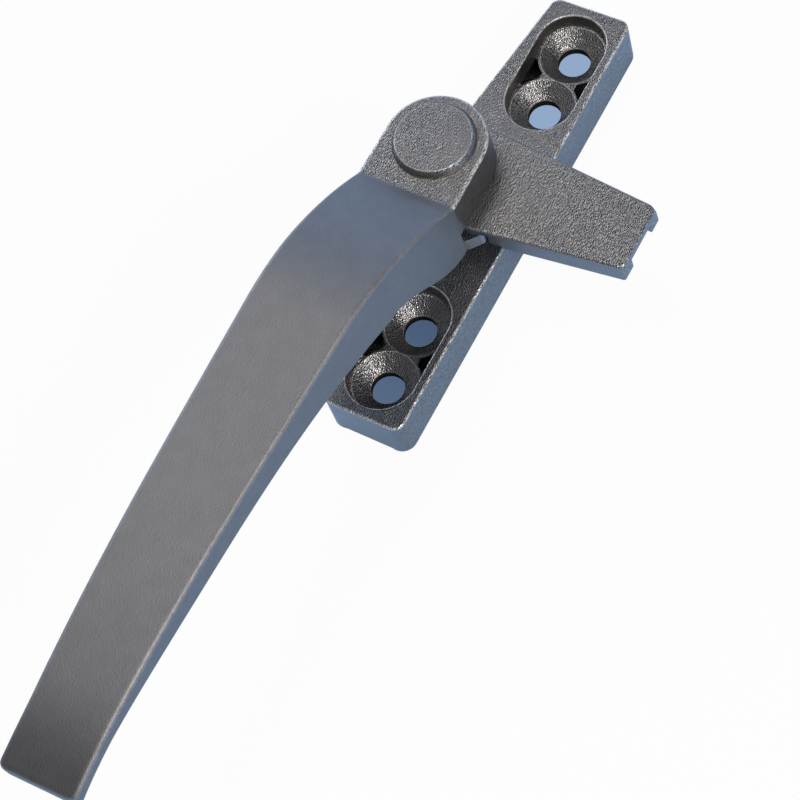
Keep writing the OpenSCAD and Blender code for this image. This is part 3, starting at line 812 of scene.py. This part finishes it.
class HANDLE_OT_plate(bpy.types.Operator):
    """Builds the base plate: hollow casting, two long pockets, four seats and the raised collar"""

    bl_idname = "handle.plate"
    bl_label = "Base plate"

    def execute(self, context):
        sizes = context.scene.handle_plate
        rim, pocket_r = sizes.rim_radius / MM, sizes.pocket_width / MM / 2
        pocket_z, pocket_rim = DECK_Z - sizes.pocket_depth / MM, sizes.pocket_rim / MM
        layers = [(plate_outline(0.12, FOOT_CORNER), 0), (plate_outline(0.0, FOOT_CORNER), 0.15)]
        for inset, z in arc((SIDE_DRAFT + rim, DECK_Z - rim), rim, 180, 90, 5):
            layers.append((plate_outline(inset, PLATE_CORNER), z))
        plate = cut(stacked("plate_casting", layers), plate_hollow())
        collar = [(COLLAR_R - 0.3, DECK_Z - 1)]
        collar += [(COLLAR_R + 0.45 - x, z) for x, z in arc((0, DECK_Z + 0.43), 0.45, -86, 0, 5)]
        collar += arc((COLLAR_R - 0.3, COLLAR_TOP - 0.3), 0.3, 0, 90, 4)
        join(plate, turned("collar", (PIVOT_X, 0), collar))
        profile = [(pocket_r - 0.35, pocket_z)] + arc((pocket_r - 0.35, pocket_z + 0.3), 0.3, -70, 0, 3)
        profile += arc((pocket_r + pocket_rim, DECK_Z - pocket_rim), pocket_rim, 180, 94, 4)
        profile.append((pocket_r + pocket_rim, DECK_Z + 0.5))
        tools = [stacked("pocket", [(slot_outline(r), z) for r, z in profile])]
        for low, high in ((-WINDOW_OUT, -WINDOW_IN), (WINDOW_IN, WINDOW_OUT)):
            window = block("window", (low, PAIR_MIDDLE - WINDOW_LEN / 2, pocket_z - 2),
                           (high, PAIR_MIDDLE + WINDOW_LEN / 2, pocket_z + 0.2))
            for y in (INNER_HOLE_Y, OUTER_HOLE_Y):
                cut(window, turned("cup", (0, y), [(CUP_R, pocket_z - 4), (CUP_R, pocket_z + 1)], 96))
            tools.append(window)
        for y in (INNER_HOLE_Y, OUTER_HOLE_Y):
            tools.append(seat_tool(y, sizes.seat_diameter / MM / 2, sizes.hole_diameter / MM / 2, pocket_z,
                                   sizes.seat_rim / MM))
        tools += [mirrored(tool) for tool in tools]
        tools.append(turned("bore", (PIVOT_X, 0), [(BORE_R, HUB_UNDER - 1), (BORE_R, COLLAR_TOP - 0.2),
                                                   (BORE_R + 0.3, COLLAR_TOP + 0.1)]))
        for y in (-PLATE_HALF - 1, PLATE_HALF - RELIEF_IN):
            tools.append(block("relief", (RELIEF_LEFT, y, -1), (RELIEF_RIGHT, y + RELIEF_IN + 1, RELIEF_H)))
        cut(plate, *tools)
        dress(plate, "base", "base_plate", bpy.data.materials["bronze_textured"])
        return {"FINISHED"}


def tongue_outline(inset, near, far, root=1.0):
    """Plan outline of the tongue, with the radii of its two end corners."""
    half, end = TONGUE_ROOT / 2, TONGUE_END / 2
    points = [(PIVOT_X, -half), (TONGUE_REACH, TONGUE_SKEW - end),
              (TONGUE_REACH, TONGUE_SKEW + end), (PIVOT_X, half)]
    return rounded(points, [root, near, far, root], inset)


def tongue_flank(x):
    """Where the near side of the tongue lies at its foot."""
    return -mix(TONGUE_ROOT / 2, TONGUE_END / 2 - TONGUE_SKEW, (x - PIVOT_X) / (TONGUE_REACH - PIVOT_X))


class HANDLE_OT_tongue(bpy.types.Operator):
    """Builds the tongue: a tapered channel with a rounded top edge, a notched end and its hub"""

    bl_idname = "handle.tongue"
    bl_label = "Tongue"

    def execute(self, context):
        sizes = context.scene.handle_tongue
        edge, corner = sizes.edge_radius / MM, sizes.corner_radius / MM
        notch = sizes.notch_width / MM
        foot, draft = TONGUE_TOP - TONGUE_SIDE, SIDE_DRAFT / 2
        layers = [(tongue_outline(0.1, 0.4, 0.7), foot), (tongue_outline(0, 0.4, 0.7), foot + 0.1),
                  (tongue_outline(draft * 0.6, 0.5, 0.9), TONGUE_TOP - 3 * edge)]
        for k, (inset, z) in enumerate(arc((draft + edge, TONGUE_TOP - edge), edge, 180, 90, 5)):
            layers.append((tongue_outline(inset, mix(1.3, corner, k / 5), mix(1.5, corner, k / 5)), z))
        tongue = stacked("tongue_casting", layers)
        inner, under_web = tongue_outline(TONGUE_WALL, 2.0, 2.0, 2.0), TONGUE_TOP - TONGUE_WEB
        cut(tongue, stacked("channel", [(inner, foot - 1), (inner, under_web)]),
            block("under_root", (PIVOT_X - 20, -25, foot - 1), (PIVOT_X + WALL_START, 25, under_web)),
            block("end_notch", (TONGUE_REACH - 2 * TONGUE_WALL, TONGUE_SKEW - notch / 2, foot - 1),
                  (TONGUE_REACH + 2, TONGUE_SKEW + notch / 2, under_web)))
        step_end = PIVOT_X + WALL_START + 2.2
        step = [(x, tongue_flank(x) + y) for x, y in ((6, -2), (step_end, -2), (step_end, 0.35), (6, 0.35))]
        cut(tongue, stacked("root_step", [(step, foot - 1), (step, TONGUE_TOP - 1.1)]))
        hub = [(HUB_OF_TONGUE_R - 0.2, ROTOR_Z), (HUB_OF_TONGUE_R, ROTOR_Z + 0.2),
               (HUB_OF_TONGUE_R, TONGUE_TOP - 0.3)]
        join(tongue, turned("hub", (PIVOT_X, 0), hub),
             block("rib", (PIVOT_X + 3, -0.8, foot + 1), (PIVOT_X + 19.9, 0.8, TONGUE_TOP - 0.7)))
        cut(tongue, block("square", (PIVOT_X - SQUARE / 2, -SQUARE / 2, 0),
                          (PIVOT_X + SQUARE / 2, SQUARE / 2, 40)))
        dress(tongue, "turning", "tongue", bpy.data.materials["bronze_textured"], tone=0.1)
        return {"FINISHED"}


def top_z(d):
    """Top line of the lever."""
    if d <= CREASE:
        return BOSS_TOP
    if d <= RISE_END:
        return GRIP_TOP - RISE * ((RISE_END - d) / (RISE_END - CREASE)) ** RISE_POWER
    return GRIP_TOP - TIP_DROP * clamp((d - FALL_START) / (LEVER_LEN - FALL_START)) ** 2.5


def under_z(d):
    """Underside of the lever: flat heel, steep throat, then a long shallow curve."""
    if d <= HEEL:
        return SKIRT_Z
    if d <= THROAT:
        return mix(SKIRT_Z, THROAT_Z, smooth((d - HEEL) / (THROAT - HEEL)))
    return (UNDER_TOP - (UNDER_TOP - THROAT_Z) * clamp((UNDER_FLAT - d) / (UNDER_FLAT - THROAT)) ** 2.4
            - UNDER_DROP * clamp((d - UNDER_FLAT) / (LEVER_LEN - UNDER_FLAT)) ** 5)


def half_width(d):
    neck = THROAT - 3
    if d <= neck:
        return CRANK_HALF
    if d <= RISE_END:
        return mix(CRANK_HALF, GRIP_HALF, smooth((d - neck) / (RISE_END - neck)))
    return mix(GRIP_HALF, TIP_HALF, clamp((d - RISE_END) / (TAPER_END - RISE_END)))


def fallen(r, over):
    """How far a quarter round of radius r has fallen, a distance over its start."""
    return r - math.sqrt(max(0.0, r * r - over ** 2)) if over > 0 else 0.0


def half_section(d, boss_edge, grip_edge, end_corner):
    """Right half of the section of the lever, from the top of its middle to the underside."""
    edge = mix(boss_edge, grip_edge, smooth((d - CREASE) / (RISE_END - CREASE)))
    wide = half_width(d) - fallen(end_corner, d - (LEVER_LEN - end_corner))
    blend = smooth(d / CREASE)
    foot_wide, top_wide = mix(BOSS_FOOT_R, wide, blend), mix(BOSS_R, wide, blend)
    high = top_z(d) - fallen(NOSE_TOP_R, d - (LEVER_LEN - NOSE_TOP_R))
    low = under_z(d) + fallen(NOSE_LOW_R, d - (LEVER_LEN - NOSE_LOW_R))
    under = 0.3 if d < HEEL else 0.45
    points = [(0, high), (top_wide * 0.45, high), (top_wide * 0.8, high)]
    points += [(top_wide - edge + x, high - edge + z) for x, z in arc((0, 0), edge, 90, 0, 6)]
    ledge = low + (high - low) * 0.45
    points += [(mix(foot_wide, top_wide, 0.5), mix(ledge, high - edge, 0.4)), (foot_wide, ledge)]
    points += [(foot_wide - under + x, low + under + z) for x, z in arc((0, 0), under, 0, -90, 3)]
    points += [(foot_wide * 0.6, low), (0, low)]
    return points


def lever_stations():
    stations = [0.0, 2.5, 5.0, 7.5, CREASE - 0.25, CREASE + 0.2]
    stations += [mix(CREASE + 0.8, HEEL + 0.6, k / 2) for k in range(3)]
    stations += [mix(HEEL + 1.2, RISE_END, k / 34) for k in range(35)]
    stations += [mix(RISE_END, LEVER_LEN - 1.2, k / 60) for k in range(1, 61)]
    return stations + [LEVER_LEN - over for over in (0.9, 0.6, 0.42, 0.3, 0.18, 0.08, 0.0)]


def lever_blank(boss_edge, grip_edge, end_corner):
    """One closed skin: half a turn round the pivot, then sections along the crank and the grip."""
    form = bmesh.new()

    def at(side, d, z):
        skew = TIP_SKEW * 0.5 * (1 + side / TIP_HALF) * clamp((d - TAPER_END) / (LEVER_LEN - 1.2 - TAPER_END))
        return form.verts.new((PIVOT_X + side, -d + skew, z))

    first = half_section(0, boss_edge, grip_edge, end_corner)
    fan = []
    top_pole, low_pole = at(0, 0, first[0][1]), at(0, 0, first[-1][1])
    count = 48
    for k in range(count + 1):
        a = math.pi * k / count
        fan.append([form.verts.new((PIVOT_X + x * math.cos(a), x * math.sin(a), z)) for x, z in first[1:-1]])
    for one, two in zip(fan, fan[1:]):
        form.faces.new((top_pole, one[0], two[0]))
        form.faces.new((low_pole, two[-1], one[-1]))
        for j in range(len(one) - 1):
            form.faces.new((one[j], one[j + 1], two[j + 1], two[j]))
    rows = [fan[-1][::-1] + [top_pole] + fan[0]]
    low_row = [low_pole]
    for d in lever_stations()[1:]:
        half = half_section(d, boss_edge, grip_edge, end_corner)
        left = [at(-x, d, z) for x, z in reversed(half[1:-1])]
        right = [at(x, d, z) for x, z in half[1:-1]]
        rows.append(left + [at(0, d, half[0][1])] + right)
        low_row.append(at(0, d, half[-1][1]))
    for i in range(len(rows) - 1):
        one, two = rows[i], rows[i + 1]
        for j in range(len(one) - 1):
            form.faces.new((one[j], one[j + 1], two[j + 1], two[j]))
        form.faces.new((low_row[i], one[0], two[0], low_row[i + 1]))
        form.faces.new((one[-1], low_row[i], low_row[i + 1], two[-1]))
    form.faces.new(rows[-1] + [low_row[-1]])
    bmesh.ops.recalc_face_normals(form, faces=form.faces)
    mesh = bpy.data.meshes.new("lever_casting")
    form.to_mesh(mesh)
    form.free()
    lever = bpy.data.objects.new("lever_casting", mesh)
    bpy.context.scene.collection.objects.link(lever)
    return lever


def lever_hollow(ribs):
    """The hollow of the lever, open at the underside, in bays between the ribs."""
    bays = []
    bay = (HOLLOW_END - HOLLOW_START) / (ribs + 1)
    for i in range(ribs + 1):
        first = HOLLOW_START + bay * i + (RIB_HALF if i else 0)
        last = HOLLOW_START + bay * (i + 1) - (RIB_HALF if i < ribs else 0)
        rings = []
        for k in range(13):
            d = mix(first, last, k / 12)
            wide, high, low = half_width(d) - LEVER_WALL, top_z(d) - LEVER_SKIN, under_z(d) - 1
            half = [(wide, low)] + arc((wide - 1, high - 1), 1, 0, 90, 3)
            ring = half + [(-x, z) for x, z in reversed(half)]
            rings.append([(PIVOT_X + x, -d, z) for x, z in ring])
        bays.append(closed_form("bay", rings))
    return bays


class HANDLE_OT_lever(bpy.types.Operator):
    """Builds the lever: boss, crank and grip as one skin, with the seat of the tongue and the hollow"""

    bl_idname = "handle.lever"
    bl_label = "Lever"

    def execute(self, context):
        sizes = context.scene.handle_lever
        lever = lever_blank(sizes.boss_edge / MM, sizes.grip_edge / MM, sizes.end_corner / MM)
        seat_r, wide = HUB_OF_TONGUE_R + SKIRT_GAP, TONGUE_ROOT / 2 + SKIRT_GAP / 2
        cut(lever, *lever_hollow(sizes.ribs))
        cut(lever,
            turned("hub_seat", (PIVOT_X, 0), [(seat_r, SKIRT_Z - 1), (seat_r, TONGUE_TOP)]),
            block("tongue_seat", (PIVOT_X - SKIRT_GAP, -wide, SKIRT_Z - 1), (PIVOT_X + 19, wide, TONGUE_TOP)),
            block("square", (PIVOT_X - SQUARE / 2, -SQUARE / 2, TONGUE_TOP - 1),
                  (PIVOT_X + SQUARE / 2, SQUARE / 2, WEB_TOP + 1)),
            turned("recess", (PIVOT_X, 0), [(RECESS_R, WEB_TOP), (RECESS_R, BOSS_TOP + 1)]))
        outline = circle((PIVOT_X, 0), SKIRT_CORNER_R, 192)
        corner = stacked("skirt_corner", [(outline, SKIRT_Z), (outline, SKIRT_Z + SKIRT_CORNER_H)])
        combine(corner, block("corner_box", (PIVOT_X + CRANK_HALF / 2, -HEEL, SKIRT_Z - 1),
                              (PIVOT_X + CRANK_HALF + SKIRT_CORNER_W, -HUB_OF_TONGUE_R, SKIRT_Z + 4)),
                "INTERSECT")
        join(lever, corner)
        dress(lever, "turning", "lever", bpy.data.materials["bronze_satin"])
        return {"FINISHED"}


class HANDLE_OT_cap(bpy.types.Operator):
    """Builds the round cap over the fixing screw, with its bevel and the plug under it"""

    bl_idname = "handle.cap"
    bl_label = "Cap"

    def execute(self, context):
        sizes = context.scene.handle_cap
        radius, top_r = sizes.radius / MM, sizes.top_radius / MM
        edge, top = sizes.edge_radius / MM, cap_high.z
        profile = [(PLUG_R - 0.15, cap_low.z), (PLUG_R, cap_low.z + 0.15), (PLUG_R, BOSS_TOP),
                   (radius - 0.05, BOSS_TOP), (radius, BOSS_TOP + 0.08), (radius, BOSS_TOP + 0.3)]
        profile += arc((top_r - edge * 0.6, top - edge), edge, 30, 90, 5)
        profile.append((top_r * 0.6, top))
        cap = turned("cap_cover", (PIVOT_X, 0), profile, 128)
        bore = PLUG_R - PLUG_WALL
        cut(cap, turned("inside", (PIVOT_X, 0), [(bore, cap_low.z - 1), (bore, BOSS_TOP)]))
        dress(cap, "turning", "pivot_cap", bpy.data.materials["bronze_textured"], tone=0.6)
        return {"FINISHED"}


# Studio


# The floor in millimetres: half its side, its underside and its top, which is just under the plate
FLOOR_HALF = 1500
FLOOR_LOW = -5
FLOOR_TOP = -0.02
# The ground that the plate covers: its end, its right side, its left side at the middle and its slope
GROUND_END = 39
GROUND_RIGHT = 6.8
GROUND_LEFT = 11.4
GROUND_SLOPE = 0.134
# Strip of that ground that shows through the screw holes
HOLE_STRIP = 3.7
# What the camera sees in that strip where Y is above and below 0, and on the rest of that ground: fixed
# glowing tones, painted light above 0, a painted shadow of the lever below 0, and painted shade elsewhere
HOLE_PAINTED_LIGHT = (0.285, 0.40, 0.585, 1)
HOLE_PAINTED_LEVER_SHADOW = (0.065, 0.105, 0.185, 1)
COVERED_PAINTED_SHADE = (0.006, 0.008, 0.012, 1)
# Painted shade: colour of that ground for all other light
COVERED_PAINTED_SHADE_BOUNCE = (0.05, 0.07, 0.10, 1)
# How bright coats and metals see the floor, and how much of what they see is that even brightness
REFLECTED = 3.0
REFLECTED_SHARE = 0.15
# Part of the floor's white that takes no shadow
EVEN_WHITE = 0.95
# Colours of the sky round the object
ZENITH = (0.19, 0.19, 0.20, 1)
HORIZON = (0.40, 0.44, 0.50, 1)
HORIZON_NEAR = (0.14, 0.17, 0.21, 1)
HORIZON_BLUE = (0.82, 1.26, 2.05, 1)


def multiplied(tree, *values):
    """All the values multiplied. For tests that is 1 where each of them holds."""
    result = values[0]
    for value in values[1:]:
        result = math_node(tree, "MULTIPLY", result, value)
    return result


def floor_material(colour):
    """Pale floor. The camera sees it white with a faint shadow, and coats and metals see its own colour.
    Under the plate it is painted dark, with painted light and a painted lever shadow in the strip behind the
    screw holes.
    """
    material, tree, shader = new_material("floor", Roughness=0.9)
    shader.inputs["Specular IOR Level"].default_value = 0.0
    x, y, z = split(tree, coordinates(tree))
    along = math_node(tree, "ABSOLUTE", y)
    left = math_node(tree, "SUBTRACT", math_node(tree, "MULTIPLY", along, GROUND_SLOPE), GROUND_LEFT * MM)
    under = multiplied(tree,
                       math_node(tree, "LESS_THAN", along, GROUND_END * MM),
                       math_node(tree, "GREATER_THAN", z, -1 * MM),
                       math_node(tree, "GREATER_THAN", x, left),
                       math_node(tree, "LESS_THAN", x, GROUND_RIGHT * MM))
    # Painted light and shade of the ground under the plate: near black, and in the strip behind the screw
    # holes a lit blue that a painted lever shadow darkens below 0
    by_hole = math_node(tree, "LESS_THAN", math_node(tree, "ABSOLUTE", x), HOLE_STRIP * MM)
    lower = multiplied(tree, math_node(tree, "LESS_THAN", y, 0.0),
                       fade(tree, y, -36 * MM, -18 * MM, low=0.85))
    blue = colour_mix(tree, "MIX", lower, HOLE_PAINTED_LIGHT, HOLE_PAINTED_LEVER_SHADOW)
    blue = colour_mix(tree, "MIX", by_hole, COVERED_PAINTED_SHADE, blue)
    seen = colour_mix(tree, "MIX", under, (1, 1, 1, 1), blue)
    # Painted shade: the covered ground is dark for all other light
    tree.links.new(colour_mix(tree, "MIX", under, rgba(colour), COVERED_PAINTED_SHADE_BOUNCE), shader.inputs["Base Color"])
    path = tree.nodes.new("ShaderNodeLightPath").outputs
    mirror = add(tree, "ShaderNodeEmission", (("Color", rgba(colour)), ("Strength", REFLECTED)))
    to_metal = math_node(tree, "ADD", path["Is Glossy Ray"], path["Is Transmission Ray"], use_clamp=True)
    share = fade(tree, under, 0.0, 1.0, REFLECTED_SHARE, 0.0)
    bounced = add(tree, "ShaderNodeMixShader", (
        (0, multiplied(tree, to_metal, share)), (1, shader.outputs[0]), (2, mirror.outputs[0])))
    glow = add(tree, "ShaderNodeEmission", (("Color", seen), ("Strength", 1.0)))
    white = add(tree, "ShaderNodeBsdfDiffuse", (("Color", (0.9, 0.9, 0.9, 1)),))
    sheet = add(tree, "ShaderNodeMixShader", (
        (0, fade(tree, under, 0.0, 1.0, EVEN_WHITE, 1.0)), (1, white.outputs[0]), (2, glow.outputs[0])))
    both = add(tree, "ShaderNodeMixShader", (
        (0, path["Is Camera Ray"]), (1, bounced.outputs[0]), (2, sheet.outputs[0])))
    tree.links.new(both.outputs[0], tree.nodes["Material Output"].inputs["Surface"])
    return material


def make_floor(colour):
    layers = [[(x * FLOOR_HALF, y * FLOOR_HALF, z) for x, y in ((-1, -1), (1, -1), (1, 1), (-1, 1))]
              for z in (FLOOR_LOW, FLOOR_TOP)]
    floor = closed_form("floor", layers)
    for vert in floor.data.vertices:
        vert.co *= MM
    floor.data.materials.append(floor_material(colour))
    return floor


def lamp(name, power, place, size, colour, aim=(0.0, -0.03, 0.015)):
    """A rectangular soft lamp, aimed at the middle of the handle. Its longer side lies along Y."""
    light = bpy.data.lights.new(name, "AREA")
    light.shape, light.size, light.size_y = "RECTANGLE", size[0], size[1]
    light.energy, light.color = power, colour
    holder = bpy.data.objects.new(name, light)
    holder.location = place
    holder.rotation_mode = "QUATERNION"
    back = (Vector(place) - Vector(aim)).normalized()
    across = Vector((0, 1, 0)).cross(back).normalized()
    holder.rotation_quaternion = Matrix((across, back.cross(across), back)).transposed().to_quaternion()
    bpy.context.scene.collection.objects.link(holder)
    return holder


def studio_world(strength):
    """Soft sky: dim overhead, brighter at the horizon, blue beyond the plate. The camera sees white."""
    world = bpy.data.worlds.new("studio")
    world.use_nodes = True
    tree = world.node_tree
    light = tree.nodes["Background"]
    light.inputs["Strength"].default_value = strength
    x, y, z = split(tree, coordinates(tree, "Generated"))
    ahead = fade(tree, y, -0.35, 0.2, kind="SMOOTHSTEP")
    leftwards = fade(tree, x, 0.12, -0.3, kind="SMOOTHSTEP")
    blue = multiplied(tree, ahead, leftwards)
    near = fade(tree, y, -0.95, -0.45, kind="SMOOTHSTEP")
    neutral = colour_mix(tree, "MIX", near, HORIZON_NEAR, HORIZON)
    horizon = colour_mix(tree, "MIX", blue, neutral, HORIZON_BLUE)
    rise = fade(tree, z, 0.15, 0.75, kind="SMOOTHSTEP")
    tree.links.new(colour_mix(tree, "MIX", rise, horizon, ZENITH), light.inputs["Color"])
    path = tree.nodes.new("ShaderNodeLightPath").outputs
    seen = math_node(tree, "ADD", path["Is Camera Ray"], path["Is Transmission Ray"], use_clamp=True)
    plain = add(tree, "ShaderNodeBackground", (("Color", (1, 1, 1, 1)), ("Strength", 1.0)))
    both = add(tree, "ShaderNodeMixShader", ((0, seen), (1, light.outputs[0]), (2, plain.outputs[0])))
    tree.links.new(both.outputs[0], tree.nodes["World Output"].inputs["Surface"])
    return world


class HANDLE_OT_stage(bpy.types.Operator):
    """Makes the camera, the pale floor, the soft lamps and the plain world"""

    bl_idname = "handle.stage"
    bl_label = "Studio"

    def execute(self, context):
        scene, sizes = context.scene, context.scene.handle_stage
        lens = bpy.data.cameras.new("camera")
        lens.sensor_width, lens.lens, lens.clip_start, lens.clip_end = 36, sizes.focal, 0.01, 20
        camera = bpy.data.objects.new("camera", lens)
        camera.location = sizes.camera_place
        camera.rotation_euler = Euler(sizes.camera_turn)
        scene.collection.objects.link(camera)
        scene.camera = camera

        floor = make_floor(sizes.floor)
        lamp("key_lamp", sizes.key, place=(0.55, -0.17, 0.47), size=(0.20, 0.34), colour=(1.0, 0.98, 0.96))
        lamp("top_lamp", sizes.top, place=(-0.29, 0.09, 0.80), size=(0.30, 0.62), colour=(1.0, 0.985, 0.975))
        lamp("side_lamp", sizes.side, place=(-0.80, 0.20, 0.16), size=(0.14, 0.50), colour=(1.0, 0.98, 0.95))
        lamp("fill_lamp", sizes.fill, place=(-0.35, -0.52, 0.50), size=(0.25, 0.25), colour=(0.95, 0.97, 1.0))
        scene.world = studio_world(sizes.sky)
        scene.view_settings.view_transform = "Standard"
        return {"FINISHED"}


class HANDLE_PT_panel(bpy.types.Panel):
    """Lists the steps of the handle and the sizes and colours that they use"""

    bl_label = "Casement window handle"
    bl_idname = "HANDLE_PT_panel"
    bl_space_type = "VIEW_3D"
    bl_region_type = "UI"
    bl_category = "Handle"

    def draw(self, context):
        for step in STEPS:
            self.layout.operator(step.bl_idname)
        for name, group in SETTINGS.items():
            box = self.layout.box()
            box.label(text=group.__doc__)
            for title in group.__annotations__:
                box.prop(getattr(context.scene, name), title)


STEPS = (HANDLE_OT_stage, HANDLE_OT_finishes, HANDLE_OT_plate,
         HANDLE_OT_tongue, HANDLE_OT_lever, HANDLE_OT_cap)
CLASSES = tuple(SETTINGS.values()) + STEPS + (HANDLE_PT_panel,)


def register():
    for each in CLASSES:
        bpy.utils.register_class(each)
    for name, group in SETTINGS.items():
        setattr(bpy.types.Scene, name, PointerProperty(type=group))


def unregister():
    for name in SETTINGS:
        delattr(bpy.types.Scene, name)
    for each in reversed(CLASSES):
        bpy.utils.unregister_class(each)


def main():
    register()
    for step in STEPS:
        group, name = step.bl_idname.split(".")
        if getattr(getattr(bpy.ops, group), name)() != {"FINISHED"}:
            raise RuntimeError(f"{step.bl_label} did not finish")


if __name__ == "__main__":
    main()
